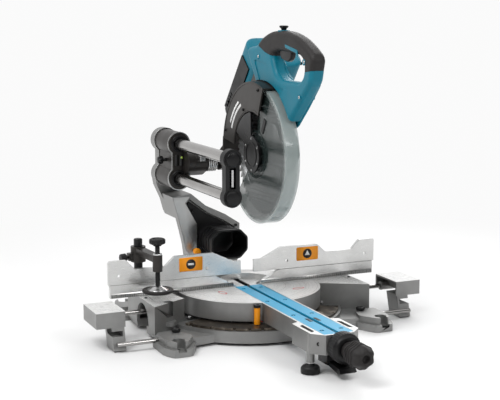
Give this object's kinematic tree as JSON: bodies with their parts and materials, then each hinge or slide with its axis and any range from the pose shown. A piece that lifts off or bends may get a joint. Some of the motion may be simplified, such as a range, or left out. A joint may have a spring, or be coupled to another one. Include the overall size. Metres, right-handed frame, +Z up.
{
  "type": "sliding compound mitre saw",
  "caption": "Sliding compound mitre saw: cast base with swinging turntable, tilting arm with twin rails, chop head with clear guard, split fence, vise and pull-out supports.",
  "frame": {"origin": "on the turntable's pivot axis, at the bench surface under the base's centre boss; the fence face lies in the plane Y = 0", "axes": "+Z up along the turntable's pivot axis, -Y towards the operator, +X to the operator's right"},
  "size_m": [0.768, 0.817, 0.66],
  "materials": {
    "casting": "die-cast, fine matt texture",
    "machined": "machined, brushed",
    "steel": "bright ground steel",
    "chrome": "polished hard chrome",
    "dark_casting": "satin dark grey paint on casting",
    "black_plastic": "fine textured moulding",
    "rubber": "soft-touch overmould",
    "teal_plastic": "satin moulding",
    "kerf_plastic": "satin moulding",
    "orange_plastic": "satin moulding",
    "clear_plastic": "clear smoky polycarbonate",
    "scale_plate": "worn dark plate",
    "blade_steel": "ground blade steel"
  },
  "bodies": {
    "base": {"base_casting": "casting", "mitre_scale": "scale_plate", "turntable_pivot_bolt": "steel", "guide_fence": "machined", "vise_post": "steel"},
    "turntable": {"turntable": "casting", "kerf_board_right": "kerf_plastic", "kerf_board_left": "kerf_plastic", "rear_insert": "black_plastic", "stop_pin_sleeve": "orange_plastic", "grip_collar": "black_plastic", "tilt_shaft": "steel"},
    "stop_pin": {"stop_pin_cap": "black_plastic"},
    "foot_bolt": {"foot_bolt": "black_plastic"},
    "mitre_grip": {"mitre_grip": "rubber"},
    "lock_lever": {"lock_lever": "black_plastic"},
    "sliding_fence_right": {"sliding_fence_right": "machined"},
    "sliding_fence_left": {"sliding_fence_left": "machined"},
    "fence_clamp_right": {"fence_clamp_right": "black_plastic"},
    "fence_clamp_left": {"fence_clamp_left": "black_plastic"},
    "wing_right": {"wing_right": "casting", "wing_front_rod_right": "chrome", "wing_rear_rod_right": "chrome"},
    "wing_left": {"wing_left": "casting", "wing_front_rod_left": "chrome", "wing_rear_rod_left": "chrome"},
    "wing_lock_knob_right": {"wing_lock_knob_right": "black_plastic"},
    "wing_lock_knob_left": {"wing_lock_knob_left": "black_plastic"},
    "vise_arm": {"vise_arm": "dark_casting"},
    "vise_thumb_screw": {"vise_thumb_screw": "black_plastic"},
    "vise_pad": {"vise_pad": "steel"},
    "vise_screw": {"vise_screw": "dark_casting", "vise_knob": "black_plastic"},
    "tilting_arm": {"arm_casting": "casting", "arm_cover": "black_plastic", "dust_hood": "black_plastic", "rail_upper": "chrome", "rail_lower": "chrome", "rail_end_cap": "black_plastic"},
    "tilt_release": {"tilt_release": "orange_plastic"},
    "tilt_lock_bar": {"tilt_lock_bar": "steel"},
    "carriage": {"carriage_housing": "dark_casting", "chop_shaft": "steel"},
    "slide_lock_screw": {"slide_lock_screw": "black_plastic"},
    "head": {"blade_case": "dark_casting", "centre_cover": "black_plastic", "gear_case": "dark_casting", "motor_housing": "teal_plastic", "motor_cover": "black_plastic", "motor_end_cover": "black_plastic", "brush_cap": "black_plastic", "handle_body": "teal_plastic", "handle_grip": "rubber"},
    "blade": {"saw_blade": "blade_steel", "spindle": "steel", "outer_flange": "dark_casting", "arbor_bolt": "steel"},
    "lower_guard": {"lower_guard": "clear_plastic"},
    "trigger": {"trigger": "black_plastic"},
    "lock_off_button": {"lock_off_button": "black_plastic"}
  },
  "joints": [
    {"name": "mitre_swing", "type": "hinge", "parent": "base", "child": "turntable", "pos_m": [0, 0, 0.081], "axis": [0, 0, 1], "range_deg": [-60, 60]},
    {"name": "stop_pin_lift", "type": "slide", "parent": "turntable", "child": "stop_pin", "axis": [0, 0, 1], "range_m": [0, 0.006], "stiffness_N_per_m": 300, "springref_m": -0.002},
    {"name": "foot_bolt_turn", "type": "hinge", "parent": "turntable", "child": "foot_bolt", "pos_m": [-0.046, -0.404, 0.02], "axis": [0, 0, 1], "continuous": true},
    {"name": "mitre_grip_turn", "type": "hinge", "parent": "turntable", "child": "mitre_grip", "pos_m": [0, -0.5, 0.058], "axis": [0, 1, 0], "range_deg": [-180, 0]},
    {"name": "lock_lever_press", "type": "hinge", "parent": "turntable", "child": "lock_lever", "pos_m": [0, -0.405, 0.035], "axis": [1, 0, 0], "range_deg": [0, 5], "stiffness_Nm_per_rad": 2, "springref_deg": -17.19},
    {"name": "sliding_fence_right_slide", "type": "slide", "parent": "base", "child": "sliding_fence_right", "axis": [1, 0, 0], "range_m": [0, 0.09]},
    {"name": "sliding_fence_left_slide", "type": "slide", "parent": "base", "child": "sliding_fence_left", "axis": [-1, 0, 0], "range_m": [0, 0.09]},
    {"name": "fence_clamp_right_turn", "type": "hinge", "parent": "base", "child": "fence_clamp_right", "pos_m": [0.19, 0.03, 0.095], "axis": [0, 1, 0], "continuous": true},
    {"name": "fence_clamp_left_turn", "type": "hinge", "parent": "base", "child": "fence_clamp_left", "pos_m": [-0.19, 0.03, 0.095], "axis": [0, 1, 0], "continuous": true},
    {"name": "wing_right_slide", "type": "slide", "parent": "base", "child": "wing_right", "axis": [-1, 0, 0], "range_m": [0, 0.055]},
    {"name": "wing_left_slide", "type": "slide", "parent": "base", "child": "wing_left", "axis": [1, 0, 0], "range_m": [0, 0.055]},
    {"name": "wing_lock_knob_right_turn", "type": "hinge", "parent": "base", "child": "wing_lock_knob_right", "pos_m": [0.219, -0.127, 0.034], "axis": [0, 0, 1], "continuous": true},
    {"name": "wing_lock_knob_left_turn", "type": "hinge", "parent": "base", "child": "wing_lock_knob_left", "pos_m": [-0.219, -0.127, 0.034], "axis": [0, 0, 1], "continuous": true},
    {"name": "vise_swing", "type": "hinge", "parent": "base", "child": "vise_arm", "pos_m": [-0.239, 0.052, 0.17], "axis": [0, 0, 1], "range_deg": [-36, 12]},
    {"name": "vise_thumb_screw_turn", "type": "hinge", "parent": "vise_arm", "child": "vise_thumb_screw", "pos_m": [-0.239, 0.052, 0.1578], "axis": [0.9971, 0.0767, 0], "continuous": true},
    {"name": "vise_press", "type": "slide", "parent": "vise_arm", "child": "vise_pad", "axis": [0, 0, -1], "range_m": [0, 0.015]},
    {"name": "vise_screw_turn", "type": "hinge", "parent": "vise_pad", "child": "vise_screw", "pos_m": [-0.231, -0.052, 0.2], "axis": [0, 0, 1], "range_deg": [0, 1080]},
    {"name": "bevel_tilt", "type": "hinge", "parent": "turntable", "child": "tilting_arm", "pos_m": [0, 0.2, 0.081], "axis": [0, 1, 0], "range_deg": [-27, 48]},
    {"name": "tilt_release_pull", "type": "slide", "parent": "tilting_arm", "child": "tilt_release", "axis": [0, -1, 0], "range_m": [0, 0.008], "stiffness_N_per_m": 400, "springref_m": -0.004},
    {"name": "tilt_lock_turn", "type": "hinge", "parent": "tilting_arm", "child": "tilt_lock_bar", "pos_m": [-0.1, -0.148, 0.348], "axis": [0, 1, 0], "range_deg": [0, 12]},
    {"name": "carriage_slide", "type": "slide", "parent": "tilting_arm", "child": "carriage", "axis": [0, 1, 0], "range_m": [-0.25, 0]},
    {"name": "slide_lock_turn", "type": "hinge", "parent": "carriage", "child": "slide_lock_screw", "pos_m": [-0.13, 0.202, 0.348], "axis": [1, 0, 0], "continuous": true},
    {"name": "head_chop", "type": "hinge", "parent": "carriage", "child": "head", "pos_m": [0, 0.14, 0.348], "axis": [-1, 0, 0], "range_deg": [-50, 0], "stiffness_Nm_per_rad": 25, "springref_deg": 68.75},
    {"name": "blade_spin", "type": "hinge", "parent": "head", "child": "blade", "pos_m": [0, -0.08, 0.387], "axis": [1, 0, 0], "continuous": true},
    {"name": "guard_swing", "type": "hinge", "parent": "head", "child": "lower_guard", "pos_m": [0, -0.08, 0.387], "axis": [1, 0, 0], "range_deg": [-145, 0]},
    {"name": "trigger_pull", "type": "slide", "parent": "head", "child": "trigger", "axis": [0, 0, 1], "range_m": [0, 0.006], "stiffness_N_per_m": 500, "springref_m": -0.004},
    {"name": "lock_off_press", "type": "slide", "parent": "head", "child": "lock_off_button", "axis": [0, 0, -1], "range_m": [0, 0.004], "stiffness_N_per_m": 400, "springref_m": -0.003}
  ],
  "couplings": [
    {"joint": "guard_swing", "follows": "head_chop", "ratio": 2.9},
    {"joint": "vise_screw_turn", "follows": "vise_press", "rad_per_m": 1256.6}
  ]
}
